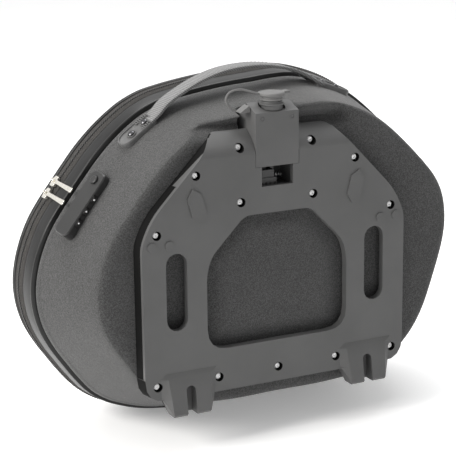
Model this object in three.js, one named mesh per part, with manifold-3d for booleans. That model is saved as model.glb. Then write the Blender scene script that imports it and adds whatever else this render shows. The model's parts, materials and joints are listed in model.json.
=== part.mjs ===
// Motorcycle saddlebag: a semi-rigid clamshell bag on a moulded carrier plate.
// Millimetres. X runs along the bag, Y from the plate to the outer lid, Z up.
import * as THREE from 'three';
import { mergeVertices } from 'three/addons/utils/BufferGeometryUtils.js';
import Module from 'manifold-3d';

const wasm = await Module();
wasm.setup();

// ---------- driving dimensions ----------
const GAP = 0.3;                      // running gap between neighbouring pieces
const RING_STEPS = 60;                // points round the bag's outline
const WALL = 5;                       // foam and fabric thickness
// Side view of the inner shell's open edge, clockwise from the top.
const RIM = [
  [22, 357], [75, 358], [134, 336], [196, 283], [232, 237], [240, 188], [224, 123], [200, 66],
  [168, 32], [120, 13], [70, 8], [0, 8], [-70, 8], [-122, 16], [-165, 36], [-197, 74],
  [-222, 117], [-229, 160], [-214, 214], [-178, 265], [-143, 305], [-98, 337], [-50, 349],
];
const DRAFT_CENTRE = { x: 54, z: 241 };
const SEAM_Y = 103.4;                 // open edge of the inner shell
const INNER_SIDE = [[15, 0.845], [16.5, 0.864], [21, 0.879], [45, 0.915], [75, 0.96], [SEAM_Y, 1]];
const BAND_Y = [SEAM_Y + GAP, 124.5];
const TAPE_Y = [124.8, 132.4, 132.8, 141];
const LID_BAND_Y = [141.3, 150];
const LID_SIDE = [[150.3, 1], [164, 0.965], [178, 0.93], [188, 0.89], [194, 0.85], [196, 0.8]];
const FLARE = 8;                      // how far the lid's edge stands outside the inner shell
const HINGE = { y: 132.6, z: 0, half: 94 };

const FACE_Y = 0;                     // front of the carrier plate
const PLATE = {
  half: 152, top: 323.4, topHalf: 66, shoulder: [141, 245], sideTop: 219, bottom: 55.6,
  thick: 3.5, edge: 5, depth: 14.7, wall: 3, corner: 23.5, flare: 3,
};
// The plate's top rolls back towards the bag: [depth, height] along its front.
const ROLL = [[0, 300], [1, 304], [3, 308], [6.3, 312], [10.6, 316], [15.6, 320], [20.2, 323.5], [28, 329]];
const ROLL_ROOM = 0.8;                // clearance behind the rolled edge
const DEEP_EDGE = { below: 80, above: 276 };
const NOTCH = { half: 25, z: 286.2 };
const WINDOW = { half: 81.6, bottom: 101, top: 238.3, topHalf: 38, shoulder: [77, 198.8], corner: 23 };
const SLOT = { x: 114.9, half: 11.65, z0: 127.8, z1: 208.7 };
const LATCH_WINDOW = { half: 18, z0: 266, z1: 286.2 };
const PAD = { x: 91.7, z: 255, length: 36, width: 16, lean: 15, proud: 1.5 };
const STUDS = { spots: [[141.5, 218], [122.2, 217.6]], radius: 4.8, proud: 1.2 };
const SCREWS = [                      // [x, z, extra depth]
  [41.4, 308, 4], [91.6, 285.3, 0], [41.7, 252.4, 0], [135.6, 229.3, 0],
  [69.1, 71, 0], [138.2, 71, 0], [0, 71, 0],
];
const SCREW = { head: 3.3, seat: 5.3, headRoom: 4.8, shank: 1.9, hole: 2.3, boss: 7, tip: 22.8 };
const FOOT = {
  x: 104.3, half: 23.5, baseHalf: 32, bottom: 39, top: 84, back: 8, slotHalf: 5.4, slotTop: 69.5,
};
const BACKING = { y0: 20.6, y1: 23.6, inset: 9 };

const TOWER = { half: 24.6, back: 38, front: 341.7, ridge: [21.6, 349.7], base: 260, wall: 3 };
const POCKET = { half: 29, back: 43, z: 256 };
const KEY = { y: 12.5, radius: 6.8, z0: 297, z1: 349.5 };
const CAM = { z0: 290, z1: 296.6, radius: 9, throw: 6, pin: 1.9 };
const CAP = { z0: 351.8, neck: 11.3, z1: 357, z2: 360.6, radius: 13.8 };

const HANDLE_Y = 82;
const STRAP = { width: 24, thick: 3.4, root: 0.07 };
const STRAP_PATH = [
  [-97.5, 337.4], [-87, 347.5], [-70, 357.5], [-50, 367], [-25, 374.5], [2, 377.5],
  [28, 376.5], [53, 371.5], [71, 364.5], [84, 356.8],
];
const HANDLE_ENDS = [
  { name: 'left', at: [-120, 318], tip: -1 },
  { name: 'right', at: [107, 347], tip: 1 },
];
const HANDLE_END = { length: 47, half: 10.5, height: 4.2, rivets: [-7, 11] };
const LOCK = { at: [-189.5, 248.6], y: 76.5, length: 75, half: 11.25, height: 9.5 };
const DIAL = { radius: 6.5, thick: 4, pitch: 14.1, inset: 4.8, height: 4.6 };
const BUTTON = { radius: 4.5, at: 27.5, z0: 6, z1: 10.9 };
const SLIDERS = [{ name: 'upper', at: [-182.6, 258.5] }, { name: 'lower', at: [-191.6, 245.8] }];
const SLIDER = { length: 12, width: 10, base: 8.4, height: 3.2, y: 133.5 };
const PULL = { length: 43, width: 5.4, thick: 1.4, drop: 7 };

// ---------- materials ----------
const finish = (color, roughness, metalness = 0) => (
  new THREE.MeshStandardMaterial({ color, roughness, metalness }));
const FABRIC = [0x4b4b4c, 0.92];
const VINYL = [0x26262a, 0.28];
const TAPE = [0x3a3837, 0.8];
const PLASTIC = [0x4d4d4f, 0.55];
const LEATHER = [0x444446, 0.5];
const BLACK = [0x1c1c1e, 0.35];
const RUBBER = [0x737375, 0.7];
const ZINC = [0xd8d8d8, 0.25, 1];

const saddlebag = new THREE.Group();
function piece(name, geometry, [color, roughness, metalness]) {
  const mesh = new THREE.Mesh(geometry, finish(color, roughness, metalness));
  mesh.name = name;
  saddlebag.add(mesh);
  return mesh;
}

// ---------- solids ----------
function solid(geometry) {
  const bare = geometry.clone();
  bare.deleteAttribute('normal');
  bare.deleteAttribute('uv');
  const merged = mergeVertices(bare, 1e-4);
  return new wasm.Manifold(new wasm.Mesh({
    numProp: 3,
    vertProperties: new Float32Array(merged.attributes.position.array),
    triVerts: new Uint32Array(merged.index.array),
  }));
}

function geometryOf(body) {
  const mesh = body.getMesh();
  const geometry = new THREE.BufferGeometry();
  const corners = new Float32Array(mesh.vertProperties);
  geometry.setAttribute('position', new THREE.BufferAttribute(corners, 3));
  geometry.setIndex(new THREE.BufferAttribute(new Uint32Array(mesh.triVerts), 1));
  geometry.computeVertexNormals();
  return geometry;
}

const block = (x0, x1, y0, y1, z0, z1) => solid(new THREE.BoxGeometry(x1 - x0, y1 - y0, z1 - z0)
  .translate((x0 + x1) / 2, (y0 + y1) / 2, (z0 + z1) / 2));

// A round bar along Y (or along Z) between two stations.
function barY(x, z, radius, y0, y1, sides = 12) {
  return solid(new THREE.CylinderGeometry(radius, radius, y1 - y0, sides).translate(x, (y0 + y1) / 2, z));
}

function barZ(x, y, radius, z0, z1, sides = 20) {
  return solid(new THREE.CylinderGeometry(radius, radius, z1 - z0, sides)
    .rotateX(Math.PI / 2).translate(x, y, (z0 + z1) / 2));
}

// A 2D shape in X and Z, extruded from y0 to y1.
function slab(shape, y0, y1) {
  return new THREE.ExtrudeGeometry(shape, { depth: y1 - y0, bevelEnabled: false, curveSegments: 4 })
    .rotateX(Math.PI / 2).translate(0, y1, 0);
}

// A polygon whose corners are rounded: [x, z, radius].
function rounded(corners) {
  const shape = new THREE.Shape();
  corners.forEach(([x, z, radius], i) => {
    const here = new THREE.Vector2(x, z);
    const toward = ([px, pz]) => new THREE.Vector2(px, pz).sub(here).normalize();
    const before = toward(corners.at(i - 1));
    const after = toward(corners[(i + 1) % corners.length]);
    const start = before.multiplyScalar(radius).add(here);
    const end = after.multiplyScalar(radius).add(here);
    if (i === 0) shape.moveTo(start.x, start.y);
    else shape.lineTo(start.x, start.y);
    if (radius) shape.quadraticCurveTo(here.x, here.y, end.x, end.y);
  });
  shape.closePath();
  return shape;
}

const mirrored = (half) => [...half, ...half.toReversed().map(([x, z, radius]) => [-x, z, radius])];

// A profile of [y, z, radius], extruded along X to half a width each side.
function alongX(corners, half) {
  const [intoY, intoZ, intoX] = [1, 2, 0].map((axis) => new THREE.Vector3().setComponent(axis, 1));
  const turn = new THREE.Matrix4().makeBasis(intoY, intoZ, intoX);
  const bar = new THREE.ExtrudeGeometry(rounded(corners), { depth: 2 * half, bevelEnabled: false });
  return solid(bar.applyMatrix4(turn).translate(-half, 0, 0));
}

// ---------- bag skin ----------
const rimCorners = RIM.map(([x, z]) => new THREE.Vector3(x, 0, z));
const rim = new THREE.CatmullRomCurve3(rimCorners, true, 'centripetal');
const rimPoints = rim.getSpacedPoints(RING_STEPS);
const outward = (tangent) => new THREE.Vector3(-tangent.z, 0, tangent.x);

// The rim point, moved outwards by grow and drawn towards the draft centre by scale.
function drawn(point, tangent, grow, scale) {
  const moved = point.clone().addScaledVector(outward(tangent), grow);
  const x = DRAFT_CENTRE.x + (moved.x - DRAFT_CENTRE.x) * scale;
  const z = DRAFT_CENTRE.z + (moved.z - DRAFT_CENTRE.z) * scale;
  return new THREE.Vector3(x, 0, z);
}

// A closed skin whose rings follow the rim: rows of { y, grow, scale } from front to back.
function skin(rows) {
  const tube = new THREE.CylinderGeometry(1, 1, 1, RING_STEPS, rows.length - 1);
  const place = tube.attributes.position;
  for (let i = 0; i < place.count; i += 1) {
    const row = rows[Math.round((place.getY(i) + 0.5) * (rows.length - 1))];
    const turn = Math.atan2(place.getX(i), place.getZ(i)) / (2 * Math.PI);
    const k = Math.round((turn + 1) * RING_STEPS) % RING_STEPS;
    const onAxis = Math.hypot(place.getX(i), place.getZ(i)) < 0.5;
    const spot = onAxis
      ? new THREE.Vector3(DRAFT_CENTRE.x - 40, 0, DRAFT_CENTRE.z - 40)
      : drawn(rimPoints[k], rim.getTangentAt(k / RING_STEPS), row.grow, row.scale);
    place.setXYZ(i, spot.x, row.y, spot.z);
  }
  return solid(tube);
}

// A hoop round the rim: outer profile of [y, grow], and one inner offset.
function hoop(profile, inner) {
  const [first, last] = [profile[0][0], profile.at(-1)[0]];
  const outer = skin(profile.map(([y, grow]) => ({ y, grow, scale: 1 })));
  const core = skin([first - 1, last + 1].map((y) => ({ y, grow: inner, scale: 1 })));
  return outer.subtract(core);
}

const sideRows = (side, grow, shift = 0) => side.map(([y, scale]) => ({ y: y + shift, grow, scale }));
const innerSkin = skin(sideRows(INNER_SIDE, 0));
const innerSkinWithGap = skin(sideRows(INNER_SIDE, GAP));

// A frame on the wall: X along the rim, Y towards the lid, Z straight out.
function wallFrame([x, z], y, grow = 0) {
  const samples = 800;
  let nearest = 0;
  let best = Infinity;
  for (let i = 0; i < samples; i += 1) {
    const p = rim.getPointAt(i / samples);
    const away = Math.hypot(p.x - x, p.z - z);
    if (away < best) [best, nearest] = [away, i / samples];
  }
  const along = rim.getTangentAt(nearest);
  const at = (station) => {
    const k = INNER_SIDE.findIndex(([rowY]) => rowY >= station);
    const [[y0, s0], [y1, s1]] = k < 1 ? [[0, 1], [999, 1]] : [INNER_SIDE[k - 1], INNER_SIDE[k]];
    const scale = s0 + (s1 - s0) * (station - y0) / (y1 - y0);
    return drawn(rim.getPointAt(nearest), along, grow, scale).setY(station);
  };
  const out = along.clone().cross(at(y + 1).sub(at(y - 1))).normalize();
  const across = out.clone().cross(along);
  return new THREE.Matrix4().makeBasis(along, across, out).setPosition(at(y));
}

// ---------- bag shells ----------
const screwSpots = SCREWS.flatMap(([x, ...rest]) => (x ? [[-x, ...rest], [x, ...rest]] : [[x, ...rest]]));
const screwHoles = (y0, y1) => screwSpots.map(([x, z]) => barY(x, z, SCREW.hole, y0, y1, 10));
const without = (body, cuts) => cuts.reduce((left, cut) => left.subtract(cut), body);

function rivetFrames(end) {
  return HANDLE_END.rivets.map((along) => wallFrame(end.at, HANDLE_Y)
    .multiply(new THREE.Matrix4().makeTranslation(-end.tip * along, 0, 0)));
}

function barOut(frame, radius, z0, z1, sides = 10) {
  return solid(new THREE.CylinderGeometry(radius, radius, z1 - z0, sides)
    .rotateX(Math.PI / 2).translate(0, 0, (z0 + z1) / 2).applyMatrix4(frame));
}

// Everything in front of the plate's rolled top, moved back by offset.
function beforeRoll(offset) {
  const curve = ROLL.map(([depth, z]) => [depth + offset, z, 0]);
  const [low, high] = [ROLL[0][1], ROLL.at(-1)[1]];
  return alongX([[-30, low, 0], ...curve, [-30, high, 0]], 200);
}

// The space the rolled top takes out of the bag's wall.
function rollRoom(extra) {
  const offset = PLATE.thick + ROLL_ROOM + extra;
  return solid(slab(plateShape(-PLATE.flare - 2 - extra, false), -1, 45)).intersect(beforeRoll(offset));
}

function innerShell() {
  const pocket = (extra) => block(
    -POCKET.half - extra, POCKET.half + extra, 10, POCKET.back + extra, POCKET.z - extra, 400);
  const cavity = skin(sideRows(INNER_SIDE, -WALL, WALL))
    .subtract(pocket(WALL - 1)).subtract(rollRoom(WALL - 1));
  const rivetHoles = HANDLE_ENDS.flatMap(rivetFrames).map((frame) => barOut(frame, 1.9, -12, 6, 8));
  const body = innerSkin.subtract(pocket(0)).subtract(rollRoom(0)).subtract(cavity);
  return without(body, [...screwHoles(10, 28), ...rivetHoles]);
}

function lid() {
  const outer = skin(sideRows(LID_SIDE, FLARE));
  const cavity = skin(sideRows(LID_SIDE, FLARE - WALL, -WALL));
  return outer.subtract(cavity);
}

const gussetZone = (extra) => block(-HINGE.half - extra, HINGE.half + extra, 120, 145, -20, 30);
const innerTape = hoop([[TAPE_Y[0], 6], [TAPE_Y[1], 8]], 2);
const outerTape = hoop([[TAPE_Y[2], 8], [TAPE_Y[3], 8]], 2);
const gussetHoop = hoop([[TAPE_Y[0], 6], [TAPE_Y[1], 8], [TAPE_Y[3], 8]], 4.5);

piece('inner_shell', geometryOf(innerShell()), FABRIC);
piece('outer_shell', geometryOf(lid()), FABRIC);
const innerBand = hoop([[BAND_Y[0], 1.5], [105.5, 3.6], [110, 4], [BAND_Y[1], 6]], -3);
const outerBand = hoop([[LID_BAND_Y[0], 8], [144, 8.6], [LID_BAND_Y[1], 8]], 1);
piece('inner_rim_band', geometryOf(innerBand), VINYL);
piece('outer_rim_band', geometryOf(outerBand), VINYL);
piece('inner_zip_tape', geometryOf(innerTape.subtract(gussetZone(GAP))), TAPE);
piece('outer_zip_tape', geometryOf(outerTape.subtract(gussetZone(GAP))), TAPE);
piece('hinge_gusset', geometryOf(gussetHoop.intersect(gussetZone(0))), FABRIC);

// Webbing that stops the lid, one strip each side, just inside the walls.
function stay(side) {
  const zone = side < 0 ? block(-260, -150, 90, 160, 118, 138) : block(170, 280, 90, 160, 118, 138);
  return hoop([[96, -11], [160, -11]], -12.6).intersect(zone);
}
piece('lid_stay_left', geometryOf(stay(-1)), TAPE);
piece('lid_stay_right', geometryOf(stay(1)), TAPE);

// ---------- carrier plate ----------
function plateShape(inset, notched = true) {
  const p = PLATE;
  const side = [
    [p.topHalf - inset * 0.5, p.top - inset, 6],
    [p.shoulder[0] - inset * 0.8, p.shoulder[1] - inset * 0.4, 16],
    [p.half - inset, p.sideTop, 8], [p.half - inset, p.bottom + inset, p.corner],
  ];
  const low = [NOTCH.half + inset, NOTCH.z - inset, 0];
  const high = [NOTCH.half + inset, p.top - inset, 0];
  return rounded(mirrored(notched ? [low, high, ...side] : side));
}

function windowShape(inset) {
  const w = WINDOW;
  return rounded(mirrored([
    [w.topHalf - inset * 0.4, w.top - inset, 8],
    [w.shoulder[0] - inset * 0.8, w.shoulder[1] - inset * 0.4, 10],
    [w.half - inset, 180, 8], [w.half - inset, w.bottom + inset, w.corner],
  ]));
}

function slotShape(x, grow = 0) {
  const shape = new THREE.Shape();
  const radius = SLOT.half + grow;
  shape.absarc(x, SLOT.z1 - SLOT.half, radius, 0, Math.PI);
  shape.absarc(x, SLOT.z0 + SLOT.half, radius, Math.PI, 2 * Math.PI);
  shape.closePath();
  return shape;
}

// A foot hooks over the carrier tube: it swells towards its base and its sides run out into the plate.
function foot(x) {
  const profile = rounded([
    [FOOT.back, FOOT.top, 0], [FOOT.back, FOOT.bottom + 6, 0], [FOOT.back - 3, FOOT.bottom, 0],
    [-8.5, FOOT.bottom, 0], [-10.5, FOOT.bottom + 2.5, 0], [-6.9, 62.5, 4], [-3.4, 78.5, 0],
    [0.1, FOOT.top, 0],
  ]);
  const across = [-FOOT.baseHalf, -FOOT.half, FOOT.half, FOOT.baseHalf];
  const body = new THREE.ExtrudeGeometry(profile, {
    depth: 3, steps: 3, bevelEnabled: false, curveSegments: 3,
  });
  const place = body.attributes.position;
  for (let i = 0; i < place.count; i += 1) {
    const [y, z, k] = [place.getX(i), place.getY(i), Math.round(place.getZ(i))];
    const atEnd = k === 0 || k === 3;
    const taper = 1 - 0.12 * (78.5 - z) / 39.5;
    place.setX(i, x + across[k] * taper);
    place.setY(i, atEnd ? Math.max(y, 0.1) : y);
    place.setZ(i, atEnd ? Math.max(z, PLATE.bottom + 1) : z);
  }
  return solid(body);
}

function footSlot(x) {
  const crown = FOOT.slotTop - FOOT.slotHalf;
  return block(x - FOOT.slotHalf, x + FOOT.slotHalf, -20, 4.5, FOOT.bottom - 5, crown)
    .add(barY(x, crown, FOOT.slotHalf, -20, 4.5, 16));
}

function pad(side) {
  const [l, w] = [PAD.length / 2, PAD.width / 2];
  const half = [[0, l, 0], [w, l - w, 0], [w, w - l, 0], [0, -l, 0]];
  const hexagon = rounded([...half, [-w, w - l, 0], [-w, l - w, 0]]);
  return slab(hexagon, -PAD.proud, PLATE.thick - 1)
    .rotateY(THREE.MathUtils.degToRad(side * PAD.lean)).translate(side * PAD.x, 0, PAD.z);
}

// A slab whose back is wider than its front.
function flaredSlab(shape, y0, y1) {
  const body = slab(shape, y0, y1);
  const place = body.attributes.position;
  const spread = 1 + PLATE.flare / PLATE.half;
  for (let i = 0; i < place.count; i += 1) {
    if (place.getY(i) > (y0 + y1) / 2) place.setX(i, place.getX(i) * spread);
  }
  return solid(body);
}

function dish() {
  const deepEdge = block(-200, 200, -1, 30, DEEP_EDGE.above, 400)
    .add(block(-200, 200, -1, 30, 0, DEEP_EDGE.below));
  const rolled = solid(slab(plateShape(0), FACE_Y, 30)).intersect(beforeRoll(PLATE.thick));
  const hollow = solid(slab(plateShape(PLATE.wall), PLATE.thick, 40)).subtract(beforeRoll(PLATE.thick));
  const deep = flaredSlab(plateShape(0), FACE_Y, PLATE.depth).intersect(deepEdge);
  return solid(slab(plateShape(0), FACE_Y, PLATE.edge)).add(deep).add(rolled).subtract(hollow);
}

function carrierPlate() {
  let body = dish().add(solid(slab(windowShape(-2.5), PLATE.thick - 1, 9)));
  screwSpots.forEach(([x, z]) => {
    body = body.add(barY(x, z, SCREW.boss, PLATE.thick - 1, PLATE.depth, 14));
  });
  [-1, 1].forEach((side) => {
    body = body.add(foot(side * FOOT.x)).add(solid(pad(side)));
    body = body.add(solid(slab(slotShape(side * SLOT.x, 2), PLATE.thick - 1, 8)));
    STUDS.spots.forEach(([x, z]) => {
      body = body.add(barY(side * x, z, STUDS.radius, -STUDS.proud, PLATE.thick - 1, 14));
    });
    body = body.subtract(solid(slab(slotShape(side * SLOT.x), -5, 20)));
    body = body.subtract(footSlot(side * FOOT.x));
  });
  const openings = [
    solid(slab(windowShape(0), -5, 20)),
    block(-LATCH_WINDOW.half, LATCH_WINDOW.half, -5, 20, LATCH_WINDOW.z0, LATCH_WINDOW.z1),
    block(-NOTCH.half, NOTCH.half, -5, 40, NOTCH.z, 340),
    block(-NOTCH.half, NOTCH.half, PLATE.thick, 40, TOWER.base - 2, 340),
    beforeRoll(0),
  ];
  const headRooms = screwSpots.map(([x, z, extra]) => (
    barY(x, z, SCREW.headRoom, -5, SCREW.seat + 0.1 + extra, 14)));
  return without(body, [...openings, ...screwHoles(-5, 20), ...headRooms]);
}

piece('mounting_plate', geometryOf(carrierPlate()), PLASTIC);

// A rubber strip closes the gap between the plate's edge and the bag along each side.
['left', 'right'].forEach((name, i) => {
  const zone = block(i ? 0 : -200, i ? 200 : 0, 0, 20, DEEP_EDGE.below + GAP, DEEP_EDGE.above - GAP);
  const strip = flaredSlab(plateShape(0, false), PLATE.edge + GAP, PLATE.depth)
    .subtract(solid(slab(plateShape(PLATE.wall, false), 0, 20)));
  piece(`plate_gasket_${name}`, geometryOf(strip.intersect(zone)), BLACK);
});

function screwGeometry() {
  const { head, seat, shank, tip } = SCREW;
  const profile = [
    [0, seat - 2.4], [head * 0.7, seat - 2.2], [head, seat - 1.1], [head, seat],
    [shank, seat], [shank, tip], [0, tip],
  ];
  const points = profile.map(([r, y]) => new THREE.Vector2(r, -y)).reverse();
  return new THREE.LatheGeometry(points, 12).rotateZ(Math.PI);
}
screwSpots.forEach(([x, z, extra], i) => {
  const number = String(i + 1).padStart(2, '0');
  piece(`plate_screw_${number}`, screwGeometry(), ZINC).position.set(x, extra, z);
});

function backingPlate() {
  const sheet = solid(slab(plateShape(BACKING.inset, false), BACKING.y0, BACKING.y1));
  const room = skin(sideRows(INNER_SIDE, -WALL - 1, WALL + GAP));
  const pocketRoom = POCKET.half + WALL;
  const pocket = block(-pocketRoom, pocketRoom, 10, 30, POCKET.z - WALL, 400);
  const body = sheet.intersect(room).subtract(pocket).subtract(rollRoom(WALL));
  return without(body, screwHoles(10, 30));
}
piece('backing_plate', geometryOf(backingPlate()), PLASTIC);

// ---------- lock tower ----------
function towerHousing() {
  const { half, back, front, ridge, base, wall } = TOWER;
  const body = alongX([
    [FACE_Y, NOTCH.z + GAP, 0], [FACE_Y, front, 0], [ridge[0], ridge[1], 0],
    [ridge[0] + 2.5, ridge[1] - 4, 0], [back, 337.5, 0], [back, base, 0],
    [PLATE.thick + 0.8, base, 0], [PLATE.thick + 0.8, NOTCH.z + GAP, 0],
  ], half);
  const room = half - wall;
  const shaftRoom = KEY.radius + 0.4;
  return body
    .subtract(block(-room, room, PLATE.thick + 0.8 + wall, back - wall, base + wall, 297))
    .subtract(block(-12, 12, wall, 25, 290, 336))
    .subtract(block(-LATCH_WINDOW.half, LATCH_WINDOW.half, -5, 12, LATCH_WINDOW.z0, LATCH_WINDOW.z1))
    .subtract(barZ(0, KEY.y, shaftRoom, 280, 400))
    .subtract(barZ(0, KEY.y, 14, 342.4, 400, 24))
    .subtract(barY(-17, 335.8, 2.3, -5, 1.4))
    .subtract(barY(17, 335.8, 2.3, -5, 1.4));
}
piece('tower_housing', geometryOf(towerHousing()), PLASTIC);

function lathe(profile, sides) {
  const points = profile.map(([r, z]) => new THREE.Vector2(r, z));
  return new THREE.LatheGeometry(points, sides).rotateX(Math.PI / 2);
}

['left', 'right'].forEach((name, i) => {
  const head = new THREE.CylinderGeometry(2, 2, 1, 12).translate(i ? 17 : -17, 0.8, 335.8);
  piece(`tower_screw_${name}`, head, BLACK);
});
const collar = barZ(0, KEY.y, 11.2, 342.7, 351.5, 24).add(barZ(0, KEY.y, 12.6, 347.4, 349.6, 24))
  .subtract(barZ(0, KEY.y, KEY.radius + 0.4, 340, 360));
piece('lock_collar', geometryOf(collar), PLASTIC);
piece('key_cylinder', geometryOf(barZ(0, KEY.y, KEY.radius, KEY.z0, KEY.z1)
  .subtract(block(-4, 4, KEY.y - 0.9, KEY.y + 0.9, KEY.z1 - 8, KEY.z1 + 1))), ZINC);

// The eccentric pin under the cam pushes the latch sideways as the key turns.
const pinOffset = CAM.throw * Math.SQRT1_2;
piece('lock_cam', geometryOf(barZ(0, KEY.y, CAM.radius, CAM.z0, CAM.z1)
  .add(barZ(-pinOffset, KEY.y + pinOffset, CAM.pin, CAM.z0 - 7, CAM.z0 + 1, 12))), ZINC);

function latch() {
  const teeth = [-14.5, -9.5, -4.5, 0.5].map((x) => block(x - 1.2, x + 1.2, 0, 9.4, 262, 268));
  const fork = block(-pinOffset - 2.3, -pinOffset + 2.3, KEY.y + pinOffset - 3.6, 22.5, 281, 289);
  return without(block(-17, 3, 7.6, 24, 263.3, 273)
    .add(block(-13.5, 0.5, 8.6, 24, 272, 281))
    .add(block(-11, 2.5, 13.5, 24, 280, 288)), [...teeth, fork]);
}
piece('latch', geometryOf(latch()), RUBBER);

function latchSpring() {
  const turns = 5;
  const points = Array.from({ length: turns * 8 + 1 }, (_, i) => {
    const angle = i * Math.PI / 4;
    const x = 4.2 + 16.2 * i / (turns * 8);
    return new THREE.Vector3(x, 29 + 2.8 * Math.cos(angle), 270 + 2.8 * Math.sin(angle));
  });
  const wire = new THREE.Shape().absarc(0, 0, 0.6, 0, 2 * Math.PI);
  const extrudePath = new THREE.CatmullRomCurve3(points);
  return new THREE.ExtrudeGeometry(wire, { steps: 50, curveSegments: 3, extrudePath, bevelEnabled: false });
}
piece('latch_spring', latchSpring(), ZINC);

function keyCap() {
  const { z0, z1, z2, neck, radius } = CAP;
  return barZ(0, KEY.y, neck, z0, z1 + 0.5, 24).add(barZ(0, KEY.y, radius, z1, z2, 28))
    .add(block(radius - 3, 19.5, KEY.y - 4.5, KEY.y + 4.5, z1 + 1.2, z2));
}
piece('key_cap', geometryOf(keyCap()), RUBBER);

const anchor = rounded([[-37.5, 341.5, 2], [-25.5, 349, 2], [-25, 341.5, 0]]);
piece('tether_anchor', slab(anchor, 10.5, 22), RUBBER);

function capTether() {
  const extrudePath = new THREE.CatmullRomCurve3([
    [-14.4, 13, 359.2], [-22, 13.5, 361.8], [-34, 15, 365], [-45, 16, 363],
    [-49.5, 16.5, 356], [-46, 16.5, 348.5], [-38.4, 16.3, 343.2],
  ].map((p) => new THREE.Vector3(...p)));
  const section = new THREE.Shape().absarc(0, 0, 1.2, 0, 2 * Math.PI);
  return new THREE.ExtrudeGeometry(section, {
    steps: 24, curveSegments: 4, extrudePath, bevelEnabled: false,
  });
}
piece('cap_tether', capTether(), RUBBER);

// ---------- carry handle ----------
const strapCorners = STRAP_PATH.map(([x, z]) => new THREE.Vector3(x, HANDLE_Y, z));
const strapPath = new THREE.CatmullRomCurve3(strapCorners);

// A stretch of the strap, from one share of its length to another.
function strap(from, to, steps) {
  const share = (i) => from + (to - from) * i / steps;
  const points = Array.from({ length: steps + 1 }, (_, i) => strapPath.getPointAt(share(i)));
  const [w, t] = [STRAP.width / 2, STRAP.thick / 2];
  const section = rounded([[-w, -t, 1], [w, -t, 1], [w, t, 1], [-w, t, 1]]);
  const extrudePath = new THREE.CatmullRomCurve3(points);
  return new THREE.ExtrudeGeometry(section, { steps, curveSegments: 1, extrudePath, bevelEnabled: false });
}
const slit = GAP / strapPath.getLength();
piece('handle_root_left', strap(0, STRAP.root - slit, 3), LEATHER);
piece('handle_strap', strap(STRAP.root, 1 - STRAP.root, 24), LEATHER);
piece('handle_root_right', strap(1 - STRAP.root + slit, 1, 3), LEATHER);

function handleEnd(end) {
  const { length, half, height } = HANDLE_END;
  const shape = new THREE.Shape();
  const square = end.tip * (length / 2 - 3);
  shape.moveTo(-square, -half);
  shape.lineTo(-square, half);
  shape.lineTo(end.tip * (length / 2 - half), half);
  shape.absarc(end.tip * (length / 2 - half), 0, half, Math.PI / 2, -Math.PI / 2, end.tip > 0);
  shape.closePath();
  const plate = new THREE.ExtrudeGeometry(shape, {
    depth: height + 6, bevelEnabled: true, bevelSize: 1.2, bevelThickness: 1.2, bevelSegments: 1,
    curveSegments: 8,
  }).translate(0, 0, -7.2).applyMatrix4(wallFrame(end.at, HANDLE_Y));
  const holes = rivetFrames(end).map((frame) => barOut(frame, 1.9, -12, 9, 8));
  return without(solid(plate).subtract(innerSkinWithGap), holes);
}

HANDLE_ENDS.forEach((end) => {
  piece(`handle_end_${end.name}`, geometryOf(handleEnd(end)), LEATHER);
  const top = HANDLE_END.height;
  rivetFrames(end).forEach((frame, i) => {
    const profile = [
      [0, -6.5], [1.5, -6.5], [1.5, top + 0.2], [3.4, top + 0.2], [3.4, top + 0.9],
      [2, top + 1.7], [0, top + 1.9],
    ];
    piece(`handle_rivet_${end.name}_${i + 1}`, lathe(profile, 10).applyMatrix4(frame), ZINC);
  });
});

// ---------- combination lock ----------
const lockFrame = wallFrame(LOCK.at, LOCK.y);
const dialSpots = [-1, 0, 1].map((i) => [i * DIAL.pitch - 4, DIAL.inset + GAP - LOCK.half]);

function lockBody() {
  const { length, half, height } = LOCK;
  const end = length / 2;
  const corners = [[-end, -half, 9], [end, -half, 7], [end, half, 9], [-end, half, 7]];
  const casing = new THREE.ExtrudeGeometry(rounded(corners), {
    depth: height + 3, bevelEnabled: true, bevelSize: 1.2, bevelOffset: -1.2, bevelThickness: 1.2,
    bevelSegments: 1, curveSegments: 6,
  }).translate(0, 0, -5.2);
  const upright = new THREE.Matrix4();
  let body = solid(casing.applyMatrix4(lockFrame)).subtract(innerSkinWithGap);
  dialSpots.forEach(([x, y]) => {
    upright.copy(lockFrame).multiply(new THREE.Matrix4().makeTranslation(x, y, 0));
    const low = DIAL.height - DIAL.thick / 2 - GAP;
    body = body.subtract(barOut(upright, DIAL.radius + 0.5, low, low + DIAL.thick + 2 * GAP, 20))
      .add(barOut(upright, 1.2, low - 0.5, low + DIAL.thick + 1.2, 8));
  });
  upright.copy(lockFrame).multiply(new THREE.Matrix4().makeTranslation(BUTTON.at, 0, 0));
  return body.subtract(barOut(upright, BUTTON.radius + 0.4, BUTTON.z0 - 2, 20, 20));
}
piece('combination_lock', geometryOf(lockBody()), BLACK);

dialSpots.forEach(([x, y], i) => {
  const lobes = 10;
  const wheel = new THREE.Shape(Array.from({ length: lobes * 2 }, (_, k) => {
    const radius = DIAL.radius - (k % 2 ? 0.5 : 0);
    const angle = k * Math.PI / lobes;
    return new THREE.Vector2(radius * Math.cos(angle), radius * Math.sin(angle));
  }));
  wheel.holes.push(new THREE.Path().absarc(0, 0, 1.6, 0, 2 * Math.PI));
  const dial = new THREE.ExtrudeGeometry(wheel, { depth: DIAL.thick, bevelEnabled: false, curveSegments: 5 })
    .translate(x, y, DIAL.height - DIAL.thick / 2).applyMatrix4(lockFrame);
  piece(`lock_dial_${i + 1}`, dial, BLACK);
});

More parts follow.
